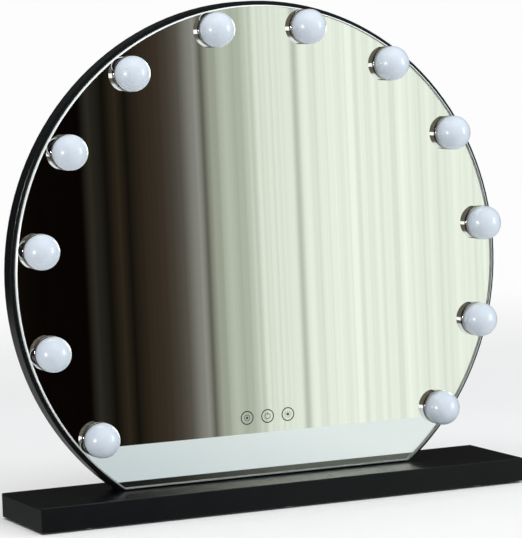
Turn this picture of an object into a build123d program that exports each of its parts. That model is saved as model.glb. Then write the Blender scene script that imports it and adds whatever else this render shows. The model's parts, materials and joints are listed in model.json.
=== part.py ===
"""Round lighted vanity mirror on a flat base, with twelve plug-in globe bulbs round its edge.

Row frame, millimetres: +X to the viewer's right, +Y away from the viewer, +Z up.
The origin is the middle of the base, at the level the rubber feet stand on.
"""

import os

from build123d import *

# ---------------------------------------------------------------- driving sizes
# Base
BASE_WIDTH = 496.0
BASE_DEPTH = 108.0
BASE_HEIGHT = 22.0
FOOT_HEIGHT = 2.0
BASE_TOP = FOOT_HEIGHT + BASE_HEIGHT

# Mirror head: a disc with its lowest part cut off flat where it stands on the base
CASING_RADIUS = 250.0
CENTRE_ABOVE_BASE = 198.5
CENTRE_Z = BASE_TOP + CENTRE_ABOVE_BASE
CASING_FRONT_Y = -2.0
CASING_DEPTH = 18.0
CASING_BACK_Y = CASING_FRONT_Y + CASING_DEPTH
SHEET = 1.2

# Glass and what lies behind it, from the casing's front face towards the viewer
TAPE_THICKNESS = 0.5
BACKING_THICKNESS = 0.2
GLASS_THICKNESS = 4.0
GLASS_RADIUS = 246.0
GLASS_FLAT_GAP = 1.5
BACKING_BACK_Y = CASING_FRONT_Y - TAPE_THICKNESS
GLASS_BACK_Y = BACKING_BACK_Y - BACKING_THICKNESS
GLASS_FRONT_Y = GLASS_BACK_Y - GLASS_THICKNESS

# Bulbs
BULB_COUNT = 12
BULB_SPACING_DEG = 23.6
BULB_RING_RADIUS = 229.0
COLLAR_RADIUS = 16.4
COLLAR_DEPTH = 12.5
GLOBE_RADIUS = 16.3
GLOBE_CENTRE_DEPTH = 19.0
PLUG_RADIUS = 1.75
PLUG_LENGTH = 14.0

# Touch keys in the lower middle of the glass
KEY_Z = BASE_TOP + 57.0
KEY_SPACING = 21.2
KEY_RING_RADIUS = 6.6
KEY_RING_LINE = 1.0

# Round parts in their holes
SLACK = 0.05

KEY_XS = [-KEY_SPACING, 0.0, KEY_SPACING]
BULB_ANGLES = [
    (index - (BULB_COUNT - 1) / 2) * BULB_SPACING_DEG for index in range(BULB_COUNT)
]


# ---------------------------------------------------------------- helpers
def upright(y):
    """The vertical plane at that y, seen from the front: local x is +X, local y is +Z."""
    return Plane(origin=(0, y, 0), x_dir=(1, 0, 0), z_dir=(0, -1, 0))


def ring_points(radius, angles):
    """(x, z) of points on a circle round the mirror's centre, by angle from the top."""
    rays = [Vector(0, radius).rotate(Axis.Z, -angle) for angle in angles]
    return [(ray.X, CENTRE_Z + ray.Y) for ray in rays]


def cut_disc(radius, flat_z, mode=Mode.ADD):
    """Adds to the current sketch a disc round the mirror's centre, cut off flat at flat_z."""
    with BuildSketch(Plane.XY, mode=Mode.PRIVATE) as outline:
        with Locations((0, CENTRE_Z)):
            Circle(radius)
        with Locations((0, flat_z)):
            Rectangle(2 * radius, 2 * radius, align=(Align.CENTER, Align.MAX), mode=Mode.SUBTRACT)
    add(outline.sketch, mode=mode)


def bulb_seat(angle):
    """The plane on the front of the glass where the bulb at that angle from the top sits."""
    [(x, z)] = ring_points(BULB_RING_RADIUS, [angle])
    return Plane(origin=(x, GLASS_FRONT_Y, z), x_dir=(1, 0, 0), z_dir=(0, -1, 0))


def holes_for_bulbs(radius, from_y, to_y):
    """Cuts the twelve bulb holes through the current part between two y levels."""
    with BuildSketch(upright(from_y)) as holes:
        with Locations(*ring_points(BULB_RING_RADIUS, BULB_ANGLES)):
            Circle(radius)
    extrude(holes.sketch, amount=from_y - to_y, mode=Mode.SUBTRACT)


os.makedirs("parts", exist_ok=True)

# ---------------------------------------------------------------- casing
FLANGE_INNER_RADIUS = 205.0
FLANGE_FLAT_WIDTH = 30.0
REAR_LIP_RADIUS = 232.0
REAR_LIP_FLAT_WIDTH = 14.0
SOCKET_THREAD_RADIUS = 4.0
FLANGE_HOLE_RADIUS = SOCKET_THREAD_RADIUS + 0.3

REAR_SCREW_RADIUS = 1.5
REAR_SCREW_RING = 240.0
REAR_SCREW_ANGLES = [-120, -90, -60, -30, 0, 30, 60, 90, 120]
REAR_SCREW_FLAT_XS = [-120, 0, 120]
REAR_SCREW_FLAT_Z = BASE_TOP + 8.0
rear_screw_points = ring_points(REAR_SCREW_RING, REAR_SCREW_ANGLES) + [
    (x, REAR_SCREW_FLAT_Z) for x in REAR_SCREW_FLAT_XS
]

MOUNT_BOLT_RADIUS = 2.5
MOUNT_BOLT_XS = [-110, -40, 40, 110]
MOUNT_Y = 7.0
mount_bolt_points = [(x, MOUNT_Y) for x in MOUNT_BOLT_XS]
MOUNT_BOLT_CLEARANCE = 0.25

with BuildPart() as frame_casing:
    with BuildSketch(upright(CASING_FRONT_Y)):
        cut_disc(CASING_RADIUS, BASE_TOP)
    extrude(amount=-CASING_DEPTH)
    outer_rims = frame_casing.edges().filter_by(GeomType.CIRCLE)
    fillet(outer_rims, 1.0)
    with BuildSketch(upright(CASING_FRONT_Y + SHEET)):
        cut_disc(CASING_RADIUS - SHEET, BASE_TOP + SHEET)
    extrude(amount=-(CASING_DEPTH - 2 * SHEET), mode=Mode.SUBTRACT)
    with BuildSketch(upright(CASING_FRONT_Y)):
        cut_disc(FLANGE_INNER_RADIUS, BASE_TOP + FLANGE_FLAT_WIDTH)
    extrude(amount=-2 * SHEET, mode=Mode.SUBTRACT)
    with BuildSketch(upright(CASING_BACK_Y)):
        cut_disc(REAR_LIP_RADIUS, BASE_TOP + REAR_LIP_FLAT_WIDTH)
    extrude(amount=2 * SHEET, mode=Mode.SUBTRACT)
    holes_for_bulbs(FLANGE_HOLE_RADIUS, CASING_FRONT_Y, CASING_FRONT_Y + 2 * SHEET)
    with BuildSketch(upright(CASING_BACK_Y)):
        with Locations(*rear_screw_points):
            Circle(REAR_SCREW_RADIUS + SLACK)
    extrude(amount=2 * SHEET, mode=Mode.SUBTRACT)
    with BuildSketch(Plane.XY.offset(BASE_TOP)):
        with Locations(*mount_bolt_points):
            Circle(MOUNT_BOLT_RADIUS + MOUNT_BOLT_CLEARANCE)
    extrude(amount=2 * SHEET, mode=Mode.SUBTRACT)
frame_casing.part.label = "frame_casing"
export_step(frame_casing.part, "parts/frame_casing.step")

# ---------------------------------------------------------------- glass, backing and tape
GLASS_FLAT_Z = BASE_TOP + GLASS_FLAT_GAP
GLASS_EDGE_BEVEL = 1.0
GLASS_HOLE_RADIUS = 5.0
BACKING_INSET = 0.5
TAPE_INSET = 3.0
TAPE_INNER_MARGIN = 1.5

with BuildPart() as mirror_glass:
    with BuildSketch(upright(GLASS_BACK_Y)):
        cut_disc(GLASS_RADIUS, GLASS_FLAT_Z)
    extrude(amount=GLASS_THICKNESS)
    front_edges = mirror_glass.faces().sort_by(Axis.Y)[0].edges()
    chamfer(front_edges, GLASS_EDGE_BEVEL)
    holes_for_bulbs(GLASS_HOLE_RADIUS, GLASS_BACK_Y, GLASS_FRONT_Y)
mirror_glass.part.label = "mirror_glass"
export_step(mirror_glass.part, "parts/mirror_glass.step")


def key_symbols():
    """Adds the three etched key marks to the current sketch: a ring and a generic sign in each."""
    with Locations(*[(x, KEY_Z) for x in KEY_XS]):
        Circle(KEY_RING_RADIUS)
        Circle(KEY_RING_RADIUS - KEY_RING_LINE, mode=Mode.SUBTRACT)
    # left key, light colour: a small disc in a thin ring
    with Locations((KEY_XS[0], KEY_Z)):
        Circle(3.0)
        Circle(2.5, mode=Mode.SUBTRACT)
        Circle(1.2)
    # middle key, power: an open ring with a bar at its top
    with Locations((KEY_XS[1], KEY_Z)):
        Circle(3.0)
        Circle(2.4, mode=Mode.SUBTRACT)
    with Locations((KEY_XS[1], KEY_Z + 2.6)):
        Rectangle(1.8, 2.2, mode=Mode.SUBTRACT)
    with Locations((KEY_XS[1], KEY_Z + 2.1)):
        Rectangle(0.6, 2.6)
    # right key, brightness: a disc with eight rays
    with Locations((KEY_XS[2], KEY_Z)):
        Circle(1.3)
        with PolarLocations(2.7, 8):
            Rectangle(1.4, 0.5)


with BuildPart() as touch_symbols:
    with BuildSketch(upright(BACKING_BACK_Y)):
        key_symbols()
    extrude(amount=BACKING_THICKNESS)
touch_symbols.part.label = "touch_symbols"
export_step(touch_symbols.part, "parts/touch_symbols.step")

with BuildPart() as mirror_backing:
    with BuildSketch(upright(BACKING_BACK_Y)):
        cut_disc(GLASS_RADIUS - BACKING_INSET, GLASS_FLAT_Z + BACKING_INSET)
    extrude(amount=BACKING_THICKNESS)
    holes_for_bulbs(GLASS_HOLE_RADIUS + BACKING_INSET, BACKING_BACK_Y, GLASS_BACK_Y)
    with BuildSketch(upright(BACKING_BACK_Y)):
        key_symbols()
    extrude(amount=BACKING_THICKNESS, mode=Mode.SUBTRACT)
mirror_backing.part.label = "mirror_backing"
export_step(mirror_backing.part, "parts/mirror_backing.step")

with BuildPart() as glass_tape:
    with BuildSketch(upright(CASING_FRONT_Y)):
        cut_disc(GLASS_RADIUS - TAPE_INSET, GLASS_FLAT_Z + TAPE_INSET)
        cut_disc(
            FLANGE_INNER_RADIUS + TAPE_INNER_MARGIN,
            BASE_TOP + FLANGE_FLAT_WIDTH - TAPE_INNER_MARGIN,
            mode=Mode.SUBTRACT,
        )
    extrude(amount=TAPE_THICKNESS)
    holes_for_bulbs(GLASS_HOLE_RADIUS + 1.5, CASING_FRONT_Y, BACKING_BACK_Y)
glass_tape.part.label = "glass_tape"
export_step(glass_tape.part, "parts/glass_tape.step")

# ---------------------------------------------------------------- bulb sockets
SOCKET_BODY_RADIUS = 6.5
SOCKET_BODY_LENGTH = 12.0
SOCKET_BORE_RADIUS = PLUG_RADIUS + 0.1
SOCKET_NOSE = 3.2
SOCKET_BORE_DEPTH = 15.5
SOCKET_SHOULDER = GLASS_FRONT_Y - (CASING_FRONT_Y + SHEET)
SOCKET_REAR = SOCKET_SHOULDER - SOCKET_BODY_LENGTH
WASHER_RADIUS = 8.0
WASHER_THICKNESS = 0.6
NUT_THICKNESS = 2.2
NUT_ACROSS_FLATS = 11.0

with BuildPart() as bulb_sockets:
    with BuildSketch(upright(GLASS_FRONT_Y - SOCKET_REAR)):
        with Locations(*ring_points(BULB_RING_RADIUS, BULB_ANGLES)):
            Circle(SOCKET_BODY_RADIUS)
    extrude(amount=SOCKET_BODY_LENGTH)
    with BuildSketch(upright(GLASS_FRONT_Y - SOCKET_SHOULDER)):
        with Locations(*ring_points(BULB_RING_RADIUS, BULB_ANGLES)):
            Circle(SOCKET_THREAD_RADIUS)
    extrude(amount=SOCKET_NOSE - SOCKET_SHOULDER)
    noses = bulb_sockets.faces().filter_by(Axis.Y).group_by(Axis.Y)[0]
    chamfer(noses.edges(), 0.4)
    with BuildSketch(upright(GLASS_FRONT_Y - SOCKET_NOSE)):
        with Locations(*ring_points(BULB_RING_RADIUS, BULB_ANGLES)):
            Circle(SOCKET_BORE_RADIUS)
    extrude(amount=-SOCKET_BORE_DEPTH, mode=Mode.SUBTRACT)
bulb_sockets.part.label = "bulb_sockets"
export_step(bulb_sockets.part, "parts/bulb_sockets.step")

with BuildPart() as socket_washers:
    with BuildSketch(upright(GLASS_FRONT_Y)):
        with Locations(*ring_points(BULB_RING_RADIUS, BULB_ANGLES)):
            Circle(WASHER_RADIUS)
            Circle(SOCKET_THREAD_RADIUS + SLACK, mode=Mode.SUBTRACT)
    extrude(amount=WASHER_THICKNESS)
socket_washers.part.label = "socket_washers"
export_step(socket_washers.part, "parts/socket_washers.step")

with BuildPart() as socket_nuts:
    with BuildSketch(upright(GLASS_FRONT_Y - WASHER_THICKNESS)):
        with Locations(*ring_points(BULB_RING_RADIUS, BULB_ANGLES)):
            RegularPolygon(NUT_ACROSS_FLATS / 2, 6, major_radius=False)
            Circle(SOCKET_THREAD_RADIUS + SLACK, mode=Mode.SUBTRACT)
    extrude(amount=NUT_THICKNESS)
socket_nuts.part.label = "socket_nuts"
export_step(socket_nuts.part, "parts/socket_nuts.step")

# ---------------------------------------------------------------- bulbs
# Depths below are measured from the front of the glass towards the viewer.
COLLAR_WALL = 0.8
COLLAR_WEB_DEPTH = 7.5
COLLAR_WEB = 1.2
COLLAR_RECESS_RADIUS = 10.0
SHANK_RADIUS = 3.2
SHANK_LENGTH = 5.3
LED_BOARD_RADIUS = 11.2
LED_BOARD_THICKNESS = 1.0
LED_RING_RADIUS = 7.5
LEDS_PER_BULB = 8
GLOBE_WALL = 2.0
GLOBE_SHOULDER_DEPTH = 11.0
GLOBE_SKIRT_BORE = 11.9

BOARD_BACK = COLLAR_WEB_DEPTH + COLLAR_WEB
BOARD_FRONT = BOARD_BACK + LED_BOARD_THICKNESS
PLUG_TIP = BOARD_BACK - SHANK_LENGTH - PLUG_LENGTH

globe_inner_radius = GLOBE_RADIUS - GLOBE_WALL
globe_skirt_radius = (GLOBE_RADIUS**2 - (GLOBE_CENTRE_DEPTH - GLOBE_SHOULDER_DEPTH) ** 2) ** 0.5
globe_bore_end = GLOBE_CENTRE_DEPTH - (globe_inner_radius**2 - GLOBE_SKIRT_BORE**2) ** 0.5

# One bulb is drawn with its axis along Z, its depth growing upwards from the glass.
# The frosted globe: a hollow ball cut open behind its middle, with a skirt into the collar.
with BuildPart() as bulb_globe:
    with BuildSketch(Plane.XZ):
        with BuildLine():
            outside = ThreePointArc(
                (0, GLOBE_CENTRE_DEPTH + GLOBE_RADIUS),
                (GLOBE_RADIUS, GLOBE_CENTRE_DEPTH),
                (globe_skirt_radius, GLOBE_SHOULDER_DEPTH),
            )
            skirt = Polyline(
                outside @ 1,
                (globe_skirt_radius, BOARD_BACK),
                (GLOBE_SKIRT_BORE, BOARD_BACK),
                (GLOBE_SKIRT_BORE, globe_bore_end),
            )
            inside = ThreePointArc(
                skirt @ 1,
                (globe_inner_radius, GLOBE_CENTRE_DEPTH),
                (0, GLOBE_CENTRE_DEPTH + globe_inner_radius),
            )
            Line(inside @ 1, outside @ 0)
        make_face()
    revolve(axis=Axis.Z)

# The plated collar: a short cup, hollowed behind to clear the socket's nut.
with BuildPart() as bulb_collar:
    with BuildSketch(Plane.XY):
        Circle(COLLAR_RADIUS)
    extrude(amount=COLLAR_DEPTH)
    rims = bulb_collar.edges().filter_by(GeomType.CIRCLE)
    fillet(rims, 0.4)
    with BuildSketch(Plane.XY):
        Circle(COLLAR_RECESS_RADIUS)
    extrude(amount=COLLAR_WEB_DEPTH, mode=Mode.SUBTRACT)
    with BuildSketch(Plane.XY.offset(BOARD_BACK)):
        Circle(COLLAR_RADIUS - COLLAR_WALL)
    extrude(amount=COLLAR_DEPTH, mode=Mode.SUBTRACT)
    with BuildSketch(Plane.XY.offset(COLLAR_WEB_DEPTH)):
        Circle(SHANK_RADIUS + SLACK)
    extrude(amount=COLLAR_WEB, mode=Mode.SUBTRACT)

# The light board with its chips, and the jack plug that is soldered into its middle.
with BuildPart() as bulb_led_plug:
    with BuildSketch(Plane.XY.offset(BOARD_BACK)):
        Circle(LED_BOARD_RADIUS)
    extrude(amount=LED_BOARD_THICKNESS)
    with BuildSketch(Plane.XY.offset(BOARD_FRONT)):
        with PolarLocations(LED_RING_RADIUS, LEDS_PER_BULB):
            Rectangle(2.8, 3.5)
    extrude(amount=0.6)
    with BuildSketch(Plane.XY.offset(BOARD_BACK)):
        Circle(SHANK_RADIUS)
    extrude(amount=-SHANK_LENGTH)
    with BuildSketch(Plane.XZ):
        with BuildLine():
            Polyline(
                (0, BOARD_BACK),
                (PLUG_RADIUS, BOARD_BACK),
                (PLUG_RADIUS, PLUG_TIP + 4.0),
                (PLUG_RADIUS - 0.5, PLUG_TIP + 3.4),
                (PLUG_RADIUS - 0.5, PLUG_TIP + 2.8),
                (PLUG_RADIUS, PLUG_TIP + 2.0),
                (PLUG_RADIUS - 1.0, PLUG_TIP),
                (0, PLUG_TIP),
                close=True,
            )
        make_face()
    revolve(axis=Axis.Z)

for number, angle in enumerate(BULB_ANGLES, start=1):
    seat = bulb_seat(angle)
    for piece, suffix in [
        (bulb_globe.part, "globe"),
        (bulb_collar.part, "collar"),
        (bulb_led_plug.part, "led_plug"),
    ]:
        placed = seat.location * piece
        placed.label = f"bulb_{number:02d}_{suffix}"
        export_step(placed, f"parts/bulb_{number:02d}_{suffix}.step")

# ---------------------------------------------------------------- back cover and its screws
COVER_THICKNESS = 1.0
COVER_INSET = 3.5
COVER_BACK_Y = CASING_BACK_Y + COVER_THICKNESS
REAR_SCREW_HEAD_RADIUS = 2.8
REAR_SCREW_HEAD = 1.6
REAR_SCREW_LENGTH = 5.0

INLET_X = 80.0
INLET_Z = BASE_TOP + 46.0
INLET_THREAD_RADIUS = 4.0
INLET_BORE_RADIUS = 2.75
INLET_PIN_RADIUS = 1.05

with BuildPart() as back_cover:
    with BuildSketch(upright(COVER_BACK_Y)):
        cut_disc(CASING_RADIUS - COVER_INSET, BASE_TOP + COVER_INSET)
        with Locations(*rear_screw_points):
            Circle(REAR_SCREW_RADIUS + 4 * SLACK, mode=Mode.SUBTRACT)
        with Locations((INLET_X, INLET_Z)):
            Circle(INLET_THREAD_RADIUS + SLACK, mode=Mode.SUBTRACT)
    extrude(amount=COVER_THICKNESS)
back_cover.part.label = "back_cover"
export_step(back_cover.part, "parts/back_cover.step")

with BuildPart() as back_cover_screws:
    with BuildSketch(upright(COVER_BACK_Y + REAR_SCREW_HEAD)):
        with Locations(*rear_screw_points):
            Circle(REAR_SCREW_HEAD_RADIUS)
    extrude(amount=REAR_SCREW_HEAD)
    head_faces = back_cover_screws.faces().filter_by(Axis.Y).group_by(Axis.Y)[-1]
    fillet(head_faces.edges(), 0.7)
    with BuildSketch(upright(COVER_BACK_Y + REAR_SCREW_HEAD)):
        with Locations(*rear_screw_points):
            Rectangle(3.2, 0.8)
            Rectangle(0.8, 3.2)
    extrude(amount=0.8, mode=Mode.SUBTRACT)
    with BuildSketch(upright(COVER_BACK_Y)):
        with Locations(*rear_screw_points):
            Circle(REAR_SCREW_RADIUS)
    extrude(amount=REAR_SCREW_LENGTH)
back_cover_screws.part.label = "back_cover_screws"
export_step(back_cover_screws.part, "parts/back_cover_screws.step")

# ---------------------------------------------------------------- power inlet
INLET_NUT_THICKNESS = 2.0
INLET_NUT_ACROSS_FLATS = 11.0
INLET_NOSE = 3.0
INLET_BODY_RADIUS = 5.8
INLET_BODY_LENGTH = 8.0
INLET_DEPTH = 9.5

with BuildPart() as power_inlet:
    with BuildSketch(upright(CASING_BACK_Y)):
        with Locations((INLET_X, INLET_Z)):
            Circle(INLET_BODY_RADIUS)
    extrude(amount=INLET_BODY_LENGTH)
    with BuildSketch(upright(CASING_BACK_Y)):
        with Locations((INLET_X, INLET_Z)):
            Circle(INLET_THREAD_RADIUS)
    extrude(amount=-(COVER_THICKNESS + INLET_NOSE))
    with BuildSketch(upright(COVER_BACK_Y + INLET_NOSE)):
        with Locations((INLET_X, INLET_Z)):
            Circle(INLET_BORE_RADIUS)
            Circle(INLET_PIN_RADIUS, mode=Mode.SUBTRACT)
    extrude(amount=INLET_DEPTH, mode=Mode.SUBTRACT)
power_inlet.part.label = "power_inlet"
export_step(power_inlet.part, "parts/power_inlet.step")

with BuildPart() as power_inlet_nut:
    with BuildSketch(upright(COVER_BACK_Y)):
        with Locations((INLET_X, INLET_Z)):
            RegularPolygon(INLET_NUT_ACROSS_FLATS / 2, 6, major_radius=False)
            Circle(INLET_THREAD_RADIUS + SLACK, mode=Mode.SUBTRACT)
    extrude(amount=-INLET_NUT_THICKNESS)
power_inlet_nut.part.label = "power_inlet_nut"
export_step(power_inlet_nut.part, "parts/power_inlet_nut.step")

# ---------------------------------------------------------------- boards behind the glass
BOARD_SHEET = 1.6
PAD_THICKNESS = 0.6
TOUCH_BOARD_WIDTH = 74.0
TOUCH_BOARD_HEIGHT = 26.0
DRIVER_X = -60.0
DRIVER_Z = INLET_Z
DRIVER_WIDTH = 64.0
DRIVER_HEIGHT = 34.0
DRIVER_LEFT_X = DRIVER_X - DRIVER_WIDTH / 2
DRIVER_RIGHT_X = DRIVER_X + DRIVER_WIDTH / 2
STANDOFF = 4.0
DRIVER_FRONT_Y = CASING_BACK_Y - STANDOFF - BOARD_SHEET
DRIVER_SOCKET = 6.0
DRIVER_SOCKET_HEIGHT = 5.0
DRIVER_SOCKET_Y = DRIVER_FRONT_Y - DRIVER_SOCKET_HEIGHT / 2
LAMP_SOCKET_Z = DRIVER_Z
INLET_SOCKET_Z = DRIVER_Z - 7.0
TOUCH_LEAD_Z = DRIVER_Z + 8.0
TOUCH_BACK_Y = BACKING_BACK_Y + PAD_THICKNESS + BOARD_SHEET
TOUCH_SOCKET_X = TOUCH_BOARD_WIDTH / 2 - 4.0
TOUCH_PARTS_HEIGHT = 3.0

with BuildPart() as touch_pad:
    with BuildSketch(upright(BACKING_BACK_Y + PAD_THICKNESS)):
        with Locations((0, KEY_Z)):
            RectangleRounded(TOUCH_BOARD_WIDTH, TOUCH_BOARD_HEIGHT, 2.0)
    extrude(amount=PAD_THICKNESS)
touch_pad.part.label = "touch_pad"
export_step(touch_pad.part, "parts/touch_pad.step")

with BuildPart() as touch_board:
    with BuildSketch(upright(TOUCH_BACK_Y)):
        with Locations((0, KEY_Z)):
            RectangleRounded(TOUCH_BOARD_WIDTH, TOUCH_BOARD_HEIGHT, 2.0)
    extrude(amount=BOARD_SHEET)
    # key controller, and the socket for the lead at the right-hand end
    with BuildSketch(upright(TOUCH_BACK_Y)):
        with Locations((-KEY_SPACING / 2, KEY_Z)):
            Rectangle(9.0, 6.0)
        with Locations((TOUCH_SOCKET_X, KEY_Z)):
            Rectangle(5.0, 10.0)
    extrude(amount=-TOUCH_PARTS_HEIGHT)
touch_board.part.label = "touch_board"
export_step(touch_board.part, "parts/touch_board.step")

driver_corners = [
    (DRIVER_X + side * (DRIVER_WIDTH / 2 - 4), DRIVER_Z + level * (DRIVER_HEIGHT / 2 - 4))
    for side in (-1, 1)
    for level in (-1, 1)
]

with BuildPart() as driver_standoffs:
    with BuildSketch(upright(CASING_BACK_Y)):
        with Locations(*driver_corners):
            RegularPolygon(2.75, 6, major_radius=False)
    extrude(amount=STANDOFF)
driver_standoffs.part.label = "driver_standoffs"
export_step(driver_standoffs.part, "parts/driver_standoffs.step")

with BuildPart() as driver_board:
    with BuildSketch(upright(CASING_BACK_Y - STANDOFF)):
        with Locations((DRIVER_X, DRIVER_Z)):
            Rectangle(DRIVER_WIDTH, DRIVER_HEIGHT)
    extrude(amount=BOARD_SHEET)
    with BuildSketch(upright(DRIVER_FRONT_Y)):
        with Locations((DRIVER_X - 14, DRIVER_Z), (DRIVER_X + 2, DRIVER_Z)):
            Circle(4.0)
        with Locations((DRIVER_X + 15, DRIVER_Z + 3)):
            Rectangle(10.0, 10.0)
    extrude(amount=6.0)
    # sockets for the leads: lamps at the left, inlet and keys at the right
    with BuildSketch(upright(DRIVER_FRONT_Y)):
        with Locations(
            (DRIVER_LEFT_X + DRIVER_SOCKET / 2, LAMP_SOCKET_Z),
            (DRIVER_RIGHT_X - DRIVER_SOCKET / 2, INLET_SOCKET_Z),
            (DRIVER_RIGHT_X - DRIVER_SOCKET / 2, TOUCH_LEAD_Z),
        ):
            Rectangle(DRIVER_SOCKET, 8.0)
    extrude(amount=DRIVER_SOCKET_HEIGHT)
driver_board.part.label = "driver_board"
export_step(driver_board.part, "parts/driver_board.step")

# ---------------------------------------------------------------- wiring inside the casing
RING_WIRE_RADIUS = 1.5
LEAD_RADIUS = 1.25
TAIL_RADIUS = 1.0
RING_WIRE_Y = 13.6
RING_WIRE_END_DEG = 1.5
SOCKET_BACK_Y = GLASS_FRONT_Y - SOCKET_REAR

first_x, first_z = ring_points(BULB_RING_RADIUS, BULB_ANGLES[:1])[0]
end_run = Vector(14.0, 0).rotate(Axis.Z, -180 - BULB_ANGLES[0])

lamp_route = [
    (first_x, RING_WIRE_Y, first_z),
    (first_x + end_run.X, RING_WIRE_Y, first_z + end_run.Y),
    (-140.0, 11.5, 60.0),
    (-113.0, DRIVER_SOCKET_Y, LAMP_SOCKET_Z),
    (DRIVER_LEFT_X, DRIVER_SOCKET_Y, LAMP_SOCKET_Z),
]
inlet_route = [
    (INLET_X, CASING_BACK_Y - INLET_BODY_LENGTH, INLET_Z),
    (INLET_X, 1.6, INLET_Z),
    (56.0, 2.2, 66.0),
    (30.0, 4.6, 59.0),
    (-4.0, DRIVER_SOCKET_Y, INLET_SOCKET_Z),
    (DRIVER_RIGHT_X, DRIVER_SOCKET_Y, INLET_SOCKET_Z),
]
touch_route = [
    (DRIVER_RIGHT_X, DRIVER_SOCKET_Y, TOUCH_LEAD_Z),
    (-8.0, DRIVER_SOCKET_Y, TOUCH_LEAD_Z),
    (14.0, DRIVER_SOCKET_Y, KEY_Z),
    (TOUCH_SOCKET_X, DRIVER_SOCKET_Y, KEY_Z),
    (TOUCH_SOCKET_X, TOUCH_BACK_Y + TOUCH_PARTS_HEIGHT, KEY_Z),
]

with BuildPart() as wiring_loom:
    with BuildLine(upright(RING_WIRE_Y)) as ring_line:
        CenterArc(
            (0, CENTRE_Z),
            BULB_RING_RADIUS,
            90 - BULB_ANGLES[-1] - RING_WIRE_END_DEG,
            BULB_ANGLES[-1] - BULB_ANGLES[0] + RING_WIRE_END_DEG,
        )
    with BuildSketch(ring_line.line ^ 0):
        Circle(RING_WIRE_RADIUS)
    sweep()
    for route, radius, bends in [
        (lamp_route, RING_WIRE_RADIUS, [16.0, 30.0, 30.0]),
        (inlet_route, LEAD_RADIUS, [6.0, 25.0, 40.0, 40.0]),
        (touch_route, LEAD_RADIUS, [60.0, 60.0, 4.5]),
    ]:
        with BuildLine() as lead_line:
            FilletPolyline(*route, radius=bends)
        with BuildSketch(lead_line.line ^ 0):
            Circle(radius)
        sweep()
    # one short tail from the ring to the back of each bulb socket
    with BuildSketch(upright(RING_WIRE_Y)):
        with Locations(*ring_points(BULB_RING_RADIUS, BULB_ANGLES)):
            Circle(TAIL_RADIUS)
    extrude(amount=RING_WIRE_Y - SOCKET_BACK_Y)
wiring_loom.part.label = "wiring_loom"
export_step(wiring_loom.part, "parts/wiring_loom.step")

# ---------------------------------------------------------------- base
BASE_SHEET = 1.5
BASE_EDGE_RADIUS = 1.2
PLATE_THICKNESS = 3.0
PLATE_GAP = 0.5
PLATE_TOP = FOOT_HEIGHT + PLATE_THICKNESS
TAB_WIDTH = 14.0
TAB_REACH = 12.0
TAB_THICKNESS = 2.0
TAB_XS = [-200.0, 0.0, 200.0]
PLATE_SCREW_Y = BASE_DEPTH / 2 - BASE_SHEET - TAB_REACH / 2
plate_screw_points = [(x, side * PLATE_SCREW_Y) for x in TAB_XS for side in (-1, 1)]
PLATE_SCREW_RADIUS = 1.5
PLATE_SCREW_HEAD_RADIUS = 2.8
PLATE_SCREW_HEAD = 1.4

with BuildPart() as base_shell:
    with BuildSketch(Plane.XY.offset(FOOT_HEIGHT)):
        Rectangle(BASE_WIDTH, BASE_DEPTH)
    extrude(amount=BASE_HEIGHT)
    fillet(base_shell.edges().filter_by(Axis.Z), BASE_EDGE_RADIUS)
    fillet(base_shell.faces().sort_by(Axis.Z)[-1].edges(), BASE_EDGE_RADIUS)
    with BuildSketch(Plane.XY.offset(FOOT_HEIGHT)):
        Rectangle(BASE_WIDTH - 2 * BASE_SHEET, BASE_DEPTH - 2 * BASE_SHEET)
    extrude(amount=BASE_HEIGHT - BASE_SHEET, mode=Mode.SUBTRACT)
    with BuildSketch(Plane.XY.offset(PLATE_TOP)):
        with Locations(*plate_screw_points):
            Rectangle(TAB_WIDTH, TAB_REACH)
            Circle(PLATE_SCREW_RADIUS + SLACK, mode=Mode.SUBTRACT)
    extrude(amount=TAB_THICKNESS)
    with BuildSketch(Plane.XY.offset(BASE_TOP)):
        with Locations(*mount_bolt_points):
            Circle(MOUNT_BOLT_RADIUS + MOUNT_BOLT_CLEARANCE)
    extrude(amount=-2 * BASE_SHEET, mode=Mode.SUBTRACT)
base_shell.part.label = "base_shell"
export_step(base_shell.part, "parts/base_shell.step")

with BuildPart() as base_plate:
    with BuildSketch(Plane.XY.offset(FOOT_HEIGHT)):
        Rectangle(
            BASE_WIDTH - 2 * BASE_SHEET - 2 * PLATE_GAP,
            BASE_DEPTH - 2 * BASE_SHEET - 2 * PLATE_GAP,
        )
        with Locations(*plate_screw_points):
            Circle(PLATE_SCREW_RADIUS + 4 * SLACK, mode=Mode.SUBTRACT)
    extrude(amount=PLATE_THICKNESS)
base_plate.part.label = "base_plate"
export_step(base_plate.part, "parts/base_plate.step")

with BuildPart() as base_plate_screws:
    with BuildSketch(Plane.XY.offset(FOOT_HEIGHT)):
        with Locations(*plate_screw_points):
            Circle(PLATE_SCREW_HEAD_RADIUS)
    extrude(amount=-PLATE_SCREW_HEAD)
    fillet(base_plate_screws.faces().group_by(Axis.Z)[0].edges(), 0.6)
    with BuildSketch(Plane.XY.offset(FOOT_HEIGHT - PLATE_SCREW_HEAD)):
        with Locations(*plate_screw_points):
            Rectangle(3.2, 0.8)
            Rectangle(0.8, 3.2)
    extrude(amount=0.7, mode=Mode.SUBTRACT)
    with BuildSketch(Plane.XY.offset(FOOT_HEIGHT)):
        with Locations(*plate_screw_points):
            Circle(PLATE_SCREW_RADIUS)
    extrude(amount=PLATE_THICKNESS + TAB_THICKNESS)
base_plate_screws.part.label = "base_plate_screws"
export_step(base_plate_screws.part, "parts/base_plate_screws.step")

FOOT_RADIUS = 9.0
FOOT_X = BASE_WIDTH / 2 - 28.0
FOOT_Y = BASE_DEPTH / 2 - 19.0

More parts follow.
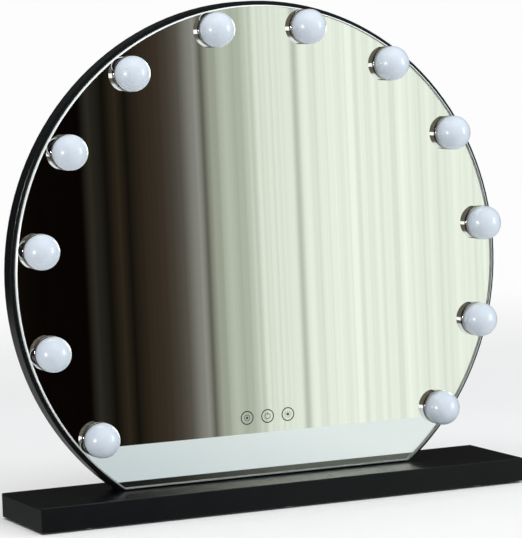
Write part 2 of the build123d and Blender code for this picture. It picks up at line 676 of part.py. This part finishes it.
with BuildPart() as rubber_feet:
    with BuildSketch(Plane.XY):
        with GridLocations(2 * FOOT_X, 2 * FOOT_Y, 2, 2):
            Circle(FOOT_RADIUS)
    extrude(amount=FOOT_HEIGHT)
    fillet(rubber_feet.faces().group_by(Axis.Z)[0].edges(), 0.6)
rubber_feet.part.label = "rubber_feet"
export_step(rubber_feet.part, "parts/rubber_feet.step")

# ---------------------------------------------------------------- bolts holding the casing on the base
ANCHOR_LENGTH = 250.0
ANCHOR_WIDTH = 12.0
ANCHOR_THICKNESS = 3.0
BOLT_HEAD_RADIUS = 4.5
BOLT_HEAD = 2.75
BOLT_WASHER_RADIUS = 5.5
BOLT_WASHER = 1.0
BOLT_SEAT_Z = BASE_TOP - BASE_SHEET - BOLT_WASHER

with BuildPart() as anchor_strip:
    with BuildSketch(Plane.XY.offset(BASE_TOP + SHEET)):
        with Locations((0, MOUNT_Y)):
            Rectangle(ANCHOR_LENGTH, ANCHOR_WIDTH)
        with Locations(*mount_bolt_points):
            Circle(MOUNT_BOLT_RADIUS + SLACK, mode=Mode.SUBTRACT)
    extrude(amount=ANCHOR_THICKNESS)
anchor_strip.part.label = "anchor_strip"
export_step(anchor_strip.part, "parts/anchor_strip.step")

with BuildPart() as mounting_washers:
    with BuildSketch(Plane.XY.offset(BOLT_SEAT_Z)):
        with Locations(*mount_bolt_points):
            Circle(BOLT_WASHER_RADIUS)
            Circle(MOUNT_BOLT_RADIUS + 3 * SLACK, mode=Mode.SUBTRACT)
    extrude(amount=BOLT_WASHER)
mounting_washers.part.label = "mounting_washers"
export_step(mounting_washers.part, "parts/mounting_washers.step")

with BuildPart() as mounting_bolts:
    with BuildSketch(Plane.XY.offset(BOLT_SEAT_Z)):
        with Locations(*mount_bolt_points):
            Circle(BOLT_HEAD_RADIUS)
    extrude(amount=-BOLT_HEAD)
    fillet(mounting_bolts.faces().group_by(Axis.Z)[0].edges(), 1.2)
    with BuildSketch(Plane.XY.offset(BOLT_SEAT_Z - BOLT_HEAD)):
        with Locations(*mount_bolt_points):
            RegularPolygon(1.5, 6, major_radius=False)
    extrude(amount=1.8, mode=Mode.SUBTRACT)
    with BuildSketch(Plane.XY.offset(BOLT_SEAT_Z)):
        with Locations(*mount_bolt_points):
            Circle(MOUNT_BOLT_RADIUS)
    extrude(amount=BOLT_WASHER + BASE_SHEET + SHEET + ANCHOR_THICKNESS)
mounting_bolts.part.label = "mounting_bolts"
export_step(mounting_bolts.part, "parts/mounting_bolts.step")
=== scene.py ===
"""Looks, stage, light and camera for the lighted vanity mirror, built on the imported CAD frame."""

import json
import math

import bpy
from mathutils import Matrix, Vector


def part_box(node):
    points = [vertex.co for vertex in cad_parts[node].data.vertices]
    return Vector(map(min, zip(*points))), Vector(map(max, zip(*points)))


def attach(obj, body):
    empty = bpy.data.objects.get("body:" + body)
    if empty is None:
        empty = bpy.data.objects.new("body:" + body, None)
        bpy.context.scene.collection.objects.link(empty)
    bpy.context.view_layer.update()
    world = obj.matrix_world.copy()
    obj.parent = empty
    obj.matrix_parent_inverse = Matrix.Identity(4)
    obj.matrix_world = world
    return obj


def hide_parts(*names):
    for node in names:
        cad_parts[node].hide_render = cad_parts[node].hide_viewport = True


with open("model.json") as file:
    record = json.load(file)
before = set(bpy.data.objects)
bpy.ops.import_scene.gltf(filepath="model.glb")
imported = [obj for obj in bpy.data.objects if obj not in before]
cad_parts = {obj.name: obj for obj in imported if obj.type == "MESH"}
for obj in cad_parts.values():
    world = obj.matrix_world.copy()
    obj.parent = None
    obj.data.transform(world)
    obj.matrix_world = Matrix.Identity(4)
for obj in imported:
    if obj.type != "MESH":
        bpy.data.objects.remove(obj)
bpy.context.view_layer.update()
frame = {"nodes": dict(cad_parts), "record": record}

nodes = frame["nodes"]
subparts = frame["record"]["subparts"]


# ---------------------------------------------------------------- node helpers
# Places of the Mix node's two colour inputs and of its colour output.
MIX_A = 6
MIX_B = 7
MIX_RESULT = 2


class NodeTree:
    """Short calls that add nodes to one tree and join them."""

    def __init__(self, tree):
        self.tree = tree

    def add(self, kind, **settings):
        node = self.tree.nodes.new(kind)
        for key, value in settings.items():
            setattr(node, key, value)
        return node

    def link(self, a, b):
        self.tree.links.new(a, b)

    def feed(self, sockets, values):
        """Gives each socket its number or colour, or links its value to it."""
        for socket, value in zip(sockets, values):
            if isinstance(value, tuple):
                socket.default_value = (*value, 1.0)
            elif isinstance(value, (int, float)):
                socket.default_value = value
            else:
                self.link(value, socket)

    def split(self, vector):
        """The X, Y and Z outputs of a vector."""
        node = self.add("ShaderNodeSeparateXYZ")
        self.link(vector, node.inputs["Vector"])
        return node.outputs

    def math(self, operation, a, b=0.0, clamp=False):
        node = self.add("ShaderNodeMath", operation=operation, use_clamp=clamp)
        self.feed(node.inputs, (a, b))
        return node.outputs["Value"]

    def within(self, value, middle, reach):
        """1 where the value lies within reach of middle, else 0."""
        inside = self.math("COMPARE", value, middle)
        inside.node.inputs[2].default_value = reach
        return inside

    def step(self, value, low, high):
        """0 below low, 1 above high, smooth between."""
        node = self.add("ShaderNodeMapRange", interpolation_type="SMOOTHSTEP")
        node.inputs["From Min"].default_value = low
        node.inputs["From Max"].default_value = high
        self.link(value, node.inputs["Value"])
        return node.outputs["Result"]

    def between(self, value, low, high, soft):
        """1 from low to high, with soft edges."""
        past_low = self.step(value, low - soft, low + soft)
        return self.math("SUBTRACT", past_low, self.step(value, high - soft, high + soft))

    def ramp(self, value, *stops):
        """Colours or grey levels along a value from 0 to 1: each stop is (position, colour)."""
        node = self.add("ShaderNodeValToRGB")
        elements = node.color_ramp.elements
        while len(elements) < len(stops):
            elements.new(1.0)
        for element, (position, colour) in zip(elements, stops):
            if not isinstance(colour, tuple):
                colour = (colour, colour, colour)
            element.position = position
            element.color = (*colour, 1.0)
        self.link(value, node.inputs["Fac"])
        return node.outputs["Color"]

    def mix(self, factor, a, b, blend_type="MIX"):
        node = self.add("ShaderNodeMix", data_type="RGBA", blend_type=blend_type)
        self.feed((node.inputs["Factor"], node.inputs[MIX_A], node.inputs[MIX_B]), (factor, a, b))
        return node.outputs[MIX_RESULT]


class Look(NodeTree):
    """One Principled material, with the nodes that drive it."""

    def __init__(self, name, **sockets):
        self.material = bpy.data.materials.new(name)
        self.material.use_nodes = True
        super().__init__(self.material.node_tree)
        self.shader = self.tree.nodes["Principled BSDF"]
        self.place = self.add("ShaderNodeTexCoord").outputs["Object"]
        for socket, value in sockets.items():
            self.set(socket.replace("_", " "), value)

    def set(self, socket, value):
        """Gives a shader socket one number or colour for the whole surface."""
        self.feed([self.shader.inputs[socket]], [value])

    def drive(self, socket, value):
        self.link(value, self.shader.inputs[socket])

    def noise(self, scale, detail=3.0, stretch=(1, 1, 1)):
        """A noise value over the piece; scale is in features per metre."""
        spread = self.add("ShaderNodeMapping")
        spread.inputs["Scale"].default_value = stretch
        self.link(self.place, spread.inputs["Vector"])
        noise = self.add("ShaderNodeTexNoise")
        noise.inputs["Scale"].default_value = scale
        noise.inputs["Detail"].default_value = detail
        self.link(spread.outputs["Vector"], noise.inputs["Vector"])
        return noise.outputs["Fac"]

    def depth(self):
        """How far a place lies in front of the glass, in metres, with the bulbs plugged in."""
        return self.math("SUBTRACT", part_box("mirror_glass")[0].y, self.split(self.place)["Y"])

    def facing_y(self):
        """1 on a face that looks straight to the back, -1 on one that looks to the front."""
        return self.split(self.add("ShaderNodeNewGeometry").outputs["True Normal"])["Y"]

    def bump(self, height, distance, strength):
        """Raises the surface by up to distance, in metres, where the height is 1."""
        node = self.add("ShaderNodeBump")
        node.inputs["Distance"].default_value = distance
        node.inputs["Strength"].default_value = strength
        self.link(height, node.inputs["Height"])
        self.link(node.outputs["Normal"], self.shader.inputs["Normal"])


# ---------------------------------------------------------------- looks
# Depths in front of the glass, in metres. The plating has a band of painted shade just behind each
# collar's front rim, where the recess lies in shade. A bulb's inner piece is its light board past
# BOARD_FROM, and its plug further back.
COLLAR_SHADE_DEPTH = 0.0105
COLLAR_SHADE_HALF_WIDTH = 0.0015
BOARD_FROM = 0.0045
PLUG_RING = -0.0045
PLUG_RING_HALF_WIDTH = 0.0006


def black_paint():
    """Sprayed semi-gloss enamel: faint orange peel, and a little unevenness in gloss."""
    look = Look("black_enamel", IOR=1.5, Specular_IOR_Level=0.32)
    low, high = (0.0040, 0.0052, 0.0062), (0.0056, 0.0068, 0.0076)
    look.drive("Base Color", look.ramp(look.noise(9), (0.3, low), (0.75, high)))
    look.drive("Roughness", look.ramp(look.noise(60, detail=4), (0.3, 0.19), (0.8, 0.27)))
    look.bump(look.noise(300, detail=2), distance=0.00005, strength=0.16)
    return look.material


def textured_coat():
    """Black powder coat with a fine even texture, greyer and less glossy than the enamel."""
    look = Look("textured_black_coat", IOR=1.5)
    low, high = (0.016, 0.017, 0.018), (0.027, 0.028, 0.029)
    look.drive("Base Color", look.ramp(look.noise(700, detail=4), (0.3, low), (0.75, high)))
    look.drive("Roughness", look.ramp(look.noise(25), (0.3, 0.38), (0.75, 0.5)))
    look.bump(look.noise(900), distance=0.00008, strength=0.35)
    return look.material


def mirror_glass():
    """Float glass with a faint green body colour, clear through its faces and ground white on its edges."""
    look = Look("float_glass", IOR=1.5)
    face = look.math("GREATER_THAN", look.math("ABSOLUTE", look.facing_y()), 0.95)
    clear = look.ramp(look.noise(3), (0.2, (0.955, 0.985, 0.965)), (0.8, (0.965, 0.99, 0.972)))
    low, high = (0.84, 0.89, 0.87), (0.92, 0.96, 0.94)
    ground = look.ramp(look.noise(500, detail=4), (0.3, low), (0.7, high))
    look.drive("Base Color", look.mix(face, ground, clear))
    look.drive("Transmission Weight", look.ramp(face, (0.0, 0.12), (1.0, 1.0)))
    look.drive("Roughness", look.ramp(face, (0.0, 0.28), (1.0, 0.0)))
    return look.material


def silvering():
    """Silver seen through the glass, with grey lacquer on its back and cut edges."""
    look = Look("silvering")
    front = look.math("LESS_THAN", look.facing_y(), -0.5)
    tone = look.ramp(look.noise(4), (0.3, (0.90, 0.915, 0.895)), (0.7, (0.915, 0.925, 0.905)))
    look.drive("Base Color", look.mix(front, (0.08, 0.085, 0.08), tone))
    look.drive("Metallic", front)
    look.drive("Roughness", look.ramp(front, (0.0, 0.55), (1.0, 0.0)))
    return look.material


def key_marks():
    """Etched key marks, unlit: a dark smoked diffuser behind the cleared silver."""
    look = Look("key_marks", Roughness=0.4)
    low, high = (0.012, 0.016, 0.013), (0.022, 0.027, 0.023)
    look.drive("Base Color", look.ramp(look.noise(300), (0.3, low), (0.7, high)))
    return look.material


def foam_tape():
    """Matt black closed-cell foam."""
    look = Look("foam_tape", Roughness=0.9)
    look.drive("Base Color", look.ramp(look.noise(900, detail=5), (0.3, 0.012), (0.7, 0.03)))
    look.bump(look.noise(1500, detail=4), distance=0.0001, strength=0.5)
    return look.material


def plated(name, light, dark, rough, painted_shade=False):
    """Polished plating with faint turning marks round each bulb's axis, and, if asked, a band of painted
    shade behind the collar's front rim.
    """
    look = Look(name, Metallic=1.0)
    tone = look.ramp(look.noise(45, detail=4), (0.25, dark), (0.75, light))
    if painted_shade:
        # Painted shade: the plating is darkened in a band just behind the collar's front rim, where the
        # recess lies in shade.
        shade_band = look.within(look.depth(), COLLAR_SHADE_DEPTH, COLLAR_SHADE_HALF_WIDTH)
        tone = look.mix(shade_band, tone, (0.06, 0.056, 0.052))
    look.drive("Base Color", tone)
    look.drive("Roughness", look.ramp(look.noise(160, detail=4), (0.3, rough), (0.8, rough * 1.7)))
    turning = look.noise(3000, detail=1, stretch=(0.02, 1, 0.02))
    look.bump(turning, distance=0.000012, strength=0.35)
    return look.material


def opal():
    """Frosted opal plastic: milky and cool, with a smooth skin, a pale rim and a faint painted glow."""
    look = Look(
        "opal",
        Roughness=0.34,
        Coat_Weight=0.55,
        Coat_Roughness=0.07,
        Sheen_Weight=1.0,
        Sheen_Roughness=0.16,
        Sheen_Tint=(0.95, 0.97, 1.0),
        # Painted glow: the unlit globe gives off a faint cool light of its own.
        Emission_Color=(0.86, 0.92, 1.0),
        Emission_Strength=0.05,
    )
    low, high = (0.56, 0.625, 0.69), (0.59, 0.65, 0.715)
    look.drive("Base Color", look.ramp(look.noise(70, detail=2), (0.3, low), (0.7, high)))
    look.bump(look.noise(2500, detail=2), distance=0.00002, strength=0.12)
    return look.material


def led_plug():
    """White light board in front; behind it the nickel plug with its black insulating ring."""
    look = Look("led_board_and_plug", Roughness=0.35)
    depth = look.depth()
    board = look.math("GREATER_THAN", depth, BOARD_FROM)
    ring = look.within(depth, PLUG_RING, PLUG_RING_HALF_WIDTH)
    plug = look.mix(ring, (0.66, 0.62, 0.55), (0.015, 0.015, 0.015))
    white = look.ramp(look.noise(400), (0.4, (0.78, 0.78, 0.74)), (0.7, (0.84, 0.84, 0.8)))
    look.drive("Base Color", look.mix(board, plug, white))
    metal = look.math("SUBTRACT", look.math("SUBTRACT", 1.0, board), ring, clamp=True)
    look.drive("Metallic", metal)
    return look.material


def darker(colour):
    return tuple(level * 0.8 for level in colour)


def steel(name, colour, rough):
    """Plated or blackened steel with a fine uneven grain."""
    look = Look(name, Metallic=1.0)
    tone = look.ramp(look.noise(350, detail=5), (0.3, darker(colour)), (0.75, colour))
    look.drive("Base Color", tone)
    look.drive("Roughness", look.ramp(look.noise(500, detail=4), (0.3, rough), (0.8, rough + 0.18)))
    look.bump(look.noise(1200), distance=0.00003, strength=0.3)
    return look.material


def moulded(name, colour, rough, grain=900):
    """Moulded plastic or rubber; grain is in features per metre."""
    look = Look(name)
    tone = look.ramp(look.noise(grain / 6, detail=4), (0.3, darker(colour)), (0.7, colour))
    look.drive("Base Color", tone)
    smooth, dull = rough - 0.06, rough + 0.06
    look.drive("Roughness", look.ramp(look.noise(grain / 3), (0.3, smooth), (0.7, dull)))
    look.bump(look.noise(grain), distance=0.00006, strength=0.4)
    return look.material


def circuit_board():
    """Green solder mask over faint copper runs."""
    look = Look("circuit_board", Roughness=0.4)
    runs = look.add("ShaderNodeTexBrick")
    runs.inputs["Scale"].default_value = 140.0
    runs.inputs["Mortar Size"].default_value = 0.03
    runs.inputs["Color1"].default_value = (0.012, 0.085, 0.035, 1)
    runs.inputs["Color2"].default_value = (0.015, 0.1, 0.04, 1)
    runs.inputs["Mortar"].default_value = (0.03, 0.18, 0.06, 1)
    look.link(look.place, runs.inputs["Vector"])
    look.drive("Base Color", runs.outputs["Color"])
    return look.material


looks = {
    "black_paint": black_paint(),
    "mirror_glass": mirror_glass(),
    "silvering": silvering(),
    "key_marks": key_marks(),
    "foam_tape": foam_tape(),
    "socket_metal": plated("socket_nickel", (0.72, 0.69, 0.62), (0.6, 0.57, 0.5), 0.16),
    "washer_plastic": moulded("washer_nylon", (0.7, 0.7, 0.66), 0.45),
    # The collar's plating has a band of painted shade behind its front rim.
    "chrome": plated("collar_nickel", (0.86, 0.85, 0.83), (0.78, 0.765, 0.74), 0.06, painted_shade=True),
    "opal": opal(),
    "led_board": led_plug(),
    "zinc_steel": steel("zinc_steel", (0.58, 0.58, 0.55), 0.28),
    "black_steel": steel("blackened_steel", (0.42, 0.42, 0.43), 0.26),
    "inlet_plastic": moulded("inlet_plastic", (0.02, 0.02, 0.021), 0.5),
    "circuit_board": circuit_board(),
    "wire_sleeve": moulded("wire_sleeve", (0.02, 0.02, 0.02), 0.55, grain=1600),
    "foot_rubber": moulded("foot_rubber", (0.022, 0.022, 0.022), 0.75, grain=1400),
}

for part in subparts:
    piece = nodes[part["node"]]
    for material_slot in piece.material_slots:
        material_slot.material = looks[part["material_slot"]]

# The back cover has a coat of its own over the same paint slot.
nodes["back_cover"].material_slots[0].material = textured_coat()

# The glass shows the room and not the bulbs that stand on it.
for part in subparts:
    if part["node"].startswith("bulb_") and part["node"] != "bulb_sockets":
        nodes[part["node"]].visible_transmission = False
        nodes[part["node"]].visible_glossy = False


# ---------------------------------------------------------------- silvering
SILVER_BITE = 0.00004  # metres


def bonded_to_glass(name, node, slot):
    """The layer's own shape, bitten into the back of the glass so that no air shows between them."""
    layer = bpy.data.objects.new(name, nodes[node].data.copy())
    layer.data.transform(Matrix.Translation((0.0, -SILVER_BITE, 0.0)))
    layer.data.materials.clear()
    layer.data.materials.append(looks[slot])
    bpy.context.collection.objects.link(layer)
    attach(layer, "mirror")
    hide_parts(node)


bonded_to_glass("silver_layer", "mirror_backing", "silvering")
bonded_to_glass("key_symbols", "touch_symbols", "key_marks")


# ---------------------------------------------------------------- stage
PALE = (0.98, 0.98, 0.98)  # the background

# Metres
FLOOR_RADIUS = 14.0
FLOOR_CORNERS = 96
FLOOR_FADE_FROM = 0.55
FLOOR_FADE_TO = 2.2
TABLE_REACH = 0.43
TABLE_WIDTH = 3.0
TABLE_DROP = 0.0005


def flat_face(name, corners):
    """A new object of one flat face."""
    mesh = bpy.data.meshes.new(name)
    mesh.from_pydata(corners, [], [tuple(range(len(corners)))])
    thing = bpy.data.objects.new(name, mesh)
    bpy.context.collection.objects.link(thing)
    return thing


def disc_corners(radius, count):
    turns = [2 * math.pi * i / count for i in range(count)]
    return [(radius * math.cos(turn), radius * math.sin(turn), 0.0) for turn in turns]


def table_look():
    """A pale table top, bluer and darker to the left as painted shade, with a painted glow of its own that
    makes it read bright in the mirror.
    """
    look = Look(
        "pale_table",
        Roughness=0.5,
        # Painted glow: the table top gives off light of its own.
        Emission_Color=(0.90, 0.98, 1.0),
        Emission_Strength=0.42,
    )
    along = look.math("ADD", look.split(look.place)["X"], 0.5)
    # Painted shade: the table top is darker and bluer towards the left.
    low, high = (0.34, 0.41, 0.50), (0.95, 0.96, 0.96)
    look.drive("Base Color", look.ramp(along, (0.3, low), (0.75, high)))
    return look.material


def floor_look():
    """Pale matt floor that passes into the plain background with distance from the object."""
    look = Look("pale_floor", Roughness=0.6, Specular_IOR_Level=0.2)
    low, high = (0.90, 0.89, 0.875), (0.92, 0.91, 0.895)
    look.drive("Base Color", look.ramp(look.noise(2.5), (0.3, low), (0.7, high)))
    away = look.add("ShaderNodeVectorMath", operation="LENGTH")
    look.link(look.place, away.inputs[0])
    glow = look.add("ShaderNodeEmission")
    glow.inputs["Color"].default_value = (*PALE, 1.0)
    blend = look.add("ShaderNodeMixShader")
    look.link(look.step(away.outputs["Value"], FLOOR_FADE_FROM, FLOOR_FADE_TO), blend.inputs[0])
    look.link(look.shader.outputs["BSDF"], blend.inputs[1])
    look.link(glow.outputs["Emission"], blend.inputs[2])
    look.link(blend.outputs["Shader"], look.tree.nodes["Material Output"].inputs["Surface"])
    return look.material


floor = flat_face("floor", disc_corners(FLOOR_RADIUS, FLOOR_CORNERS))
floor.data.materials.append(floor_look())
floor.visible_glossy = False
floor.visible_transmission = False

# What the glass shows of the floor is only as deep as a table top.
side = TABLE_WIDTH / 2
table = flat_face("table_top", [
    (-side, -TABLE_REACH, 0.0), (side, -TABLE_REACH, 0.0), (side, 0.0, 0.0), (-side, 0.0, 0.0),
])
table.location.z = -TABLE_DROP
table.data.materials.append(table_look())
table.visible_camera = False
table.visible_shadow = False
table.visible_diffuse = False
table.visible_glossy = False


# ---------------------------------------------------------------- world
# across and rise are how far a ray to the front goes to +X and up for each metre forward.
HANGINGS_FROM = 0.36
HANGINGS_TO = 0.56
HANGINGS_BLEND = 0.06
HANGINGS_LEAN = 0.01  # across for each unit of rise
SOFT_LIGHT = (0.66, 0.675, 0.70)  # the even light on matt surfaces
GLOSS_DIMMING = 0.4  # how bright gloss and plating see the room; the glass sees it in full


def streaks(sky, across, scale, detail, low, high):
    """A grey level that varies only across the room, for pleats and folds."""
    noise = sky.add("ShaderNodeTexNoise", noise_dimensions="1D")
    noise.inputs["Scale"].default_value = scale
    noise.inputs["Detail"].default_value = detail
    sky.link(across, noise.inputs["W"])
    spread = sky.add("ShaderNodeMapRange")
    spread.inputs["From Min"].default_value = 0.3
    spread.inputs["From Max"].default_value = 0.62
    spread.inputs["To Min"].default_value = low
    spread.inputs["To Max"].default_value = high
    sky.link(noise.outputs["Fac"], spread.inputs["Value"])
    return spread.outputs["Result"]


def surround(sky, z):
    """Behind and beside the mirror: a pale ground, dark walls and a soft bright ceiling."""
    height = sky.math("ADD", sky.math("MULTIPLY", z, 0.5), 0.5)
    return sky.ramp(
        height,
        (0.0, (0.95, 0.95, 0.95)), (0.38, (0.80, 0.80, 0.80)), (0.44, (0.035, 0.032, 0.03)),
        (0.60, (0.05, 0.046, 0.042)), (0.74, (0.22, 0.22, 0.22)), (0.88, (0.8, 0.81, 0.83)),
        (1.0, (1.0, 1.0, 1.0)),
    )


def hangings(sky, across):
    """To the front and right: a dark doorway, brown folds, then a pale pleated curtain."""
    zone = sky.add("ShaderNodeMapRange")
    zone.inputs["From Min"].default_value = HANGINGS_FROM
    zone.inputs["From Max"].default_value = HANGINGS_TO
    sky.link(across, zone.inputs["Value"])
    cloth = sky.ramp(
        zone.outputs["Result"],
        (0.085, (0.0030, 0.0016, 0.0012)), (0.105, (0.030, 0.027, 0.019)),
        (0.135, (0.006, 0.005, 0.0035)), (0.16, (0.030, 0.022, 0.013)),
        (0.18, (0.009, 0.007, 0.005)), (0.21, (0.034, 0.024, 0.015)),
        (0.25, (0.046, 0.033, 0.023)), (0.29, (0.100, 0.088, 0.072)),
        (0.325, (0.33, 0.32, 0.29)), (0.34, (0.13, 0.125, 0.105)),
        (0.355, (0.36, 0.37, 0.30)), (0.39, (0.58, 0.61, 0.52)),
        (0.42, (0.52, 0.55, 0.46)), (0.455, (0.80, 0.83, 0.735)),
        (0.528, (0.87, 0.905, 0.81)), (0.537, (0.62, 0.65, 0.57)),
        (0.55, (0.95, 0.985, 0.885)), (1.0, (0.96, 0.995, 0.895)),
    )
    fine = streaks(sky, across, scale=260.0, detail=3.0, low=0.86, high=1.03)
    broad = streaks(sky, across, scale=60.0, detail=2.0, low=0.93, high=1.03)
    return sky.mix(1.0, cloth, sky.math("MULTIPLY", fine, broad), "MULTIPLY")


def rest_of_front(sky, across, rise):
    """The rest of the room in front: a drape with a dark band, a window, and a pale floor close by."""
    folds = streaks(sky, across, scale=14.0, detail=4.0, low=0.45, high=1.2)
    drape = sky.mix(1.0, folds, (0.17, 0.154, 0.124), "MULTIPLY")
    room = sky.mix(sky.between(rise, -0.2, 0.03, soft=0.012), drape, (0.035, 0.03, 0.026))
    window_span = sky.between(across, -0.7, -0.3, soft=0.03)
    window = sky.math("MULTIPLY", window_span, sky.between(rise, -0.17, 0.03, soft=0.012))
    room = sky.mix(window, room, (1.5, 1.5, 1.5))
    low_down = sky.math("SUBTRACT", 1.0, sky.step(rise, -0.32, -0.24))
    near_floor = sky.math("MULTIPLY", sky.step(across, -0.25, -0.1), low_down)
    return sky.mix(near_floor, room, (1.0, 1.01, 1.03))


def build_world():
    """Plain pale background for the camera, and a room that only reflections see."""
    world = bpy.data.worlds.new("studio")
    bpy.context.scene.world = world
    world.use_nodes = True
    world.node_tree.nodes.clear()
    sky = NodeTree(world.node_tree)

    direction = sky.split(sky.add("ShaderNodeTexCoord").outputs["Generated"])
    x, y, z = (direction[letter] for letter in "XYZ")
    to_front = sky.math("MULTIPLY", y, -1.0)
    ahead = sky.math("MAXIMUM", to_front, 0.02)
    rise = sky.math("DIVIDE", z, ahead)
    lean = sky.math("MULTIPLY", rise, HANGINGS_LEAN)
    across = sky.math("ADD", sky.math("DIVIDE", x, ahead), lean)

    right_side = sky.step(across, HANGINGS_FROM - HANGINGS_BLEND, HANGINGS_FROM)
    front_room = sky.mix(right_side, rest_of_front(sky, across, rise), hangings(sky, across))
    in_front = sky.step(to_front, 0.15, 0.3)
    below_ceiling = sky.math("SUBTRACT", 1.0, sky.step(z, 0.5, 0.7))
    shown = sky.math("MULTIPLY", in_front, below_ceiling)
    studio = sky.mix(shown, surround(sky, z), front_room)

    # A sharp ray through glass counts as both glossy and transmission, so the glass comes last.
    path = sky.add("ShaderNodeLightPath").outputs
    dimmed = sky.mix(1.0, studio, (GLOSS_DIMMING,) * 3, "MULTIPLY")
    lit = sky.mix(path["Is Glossy Ray"], SOFT_LIGHT, dimmed)
    lit = sky.mix(path["Is Transmission Ray"], lit, studio)
    background = sky.add("ShaderNodeBackground")
    sky.link(sky.mix(path["Is Camera Ray"], lit, PALE), background.inputs["Color"])
    background.inputs["Strength"].default_value = 1.0
    output = sky.add("ShaderNodeOutputWorld")
    sky.link(background.outputs["Background"], output.inputs["Surface"])
    # The room differs by kind of ray, so it isn't sampled as a light.
    world.cycles.sampling_method = "NONE"


build_world()


# ---------------------------------------------------------------- lights
LIGHT_AIM = Vector((0.0, 0.0, 0.22))


def softbox(name, place, size, power, colour=(1.0, 1.0, 1.0)):
    """A rectangular area light that faces the middle of the glass; place and size in metres."""
    data = bpy.data.lights.new(name, "AREA")
    data.shape = "RECTANGLE"
    data.size, data.size_y = size
    data.energy = power
    data.color = colour
    lamp = bpy.data.objects.new(name, data)
    lamp.location = place
    lamp.rotation_euler = (LIGHT_AIM - Vector(place)).to_track_quat("-Z", "Y").to_euler()
    lamp.visible_camera = False
    bpy.context.collection.objects.link(lamp)
    return lamp


# The overhead light gives soft light and no glints; the small one only glints, most on the globes.
overhead = softbox("overhead", place=(-0.4, -0.7, 2.6), size=(2.2, 1.6), power=38.0)
overhead.visible_glossy = False
left_spot = softbox("left_spot", place=(-2.75, -0.95, 0.45), size=(0.34, 0.34), power=40.0)
left_spot.visible_diffuse = False
softbox(
    "right_window",
    place=(2.3, -1.9, 0.75),
    size=(0.7, 1.5),
    power=26.0,
    colour=(0.88, 0.95, 1.0),
)


# ---------------------------------------------------------------- camera
CAMERA_AIM = Vector((0.006, 0.0126, 0.2192))
CAMERA_DISTANCE = 2.69
CAMERA_YAW = math.radians(24.26)
CAMERA_PITCH = math.radians(-4.78)
CAMERA_ROLL = math.radians(-1.97)
CAMERA_LENS = 189.8  # millimetres, as is the width of the sensor
SENSOR_WIDTH = 36.0
CLIP_END = 100.0

forward = Vector((
    math.sin(CAMERA_YAW) * math.cos(CAMERA_PITCH),
    math.cos(CAMERA_YAW) * math.cos(CAMERA_PITCH),
    math.sin(CAMERA_PITCH),
))
camera_data = bpy.data.cameras.new("camera")
camera_data.lens = CAMERA_LENS
camera_data.sensor_width = SENSOR_WIDTH
camera_data.clip_end = CLIP_END
camera = bpy.data.objects.new("camera", camera_data)
bpy.context.collection.objects.link(camera)
look_along = forward.to_track_quat("-Z", "Y").to_matrix().to_4x4()
camera.matrix_world = (
    Matrix.Translation(CAMERA_AIM - forward * CAMERA_DISTANCE)
    @ look_along
    @ Matrix.Rotation(CAMERA_ROLL, 4, "Z")
)
bpy.context.scene.camera = camera
bpy.context.scene.view_settings.view_transform = "Standard"
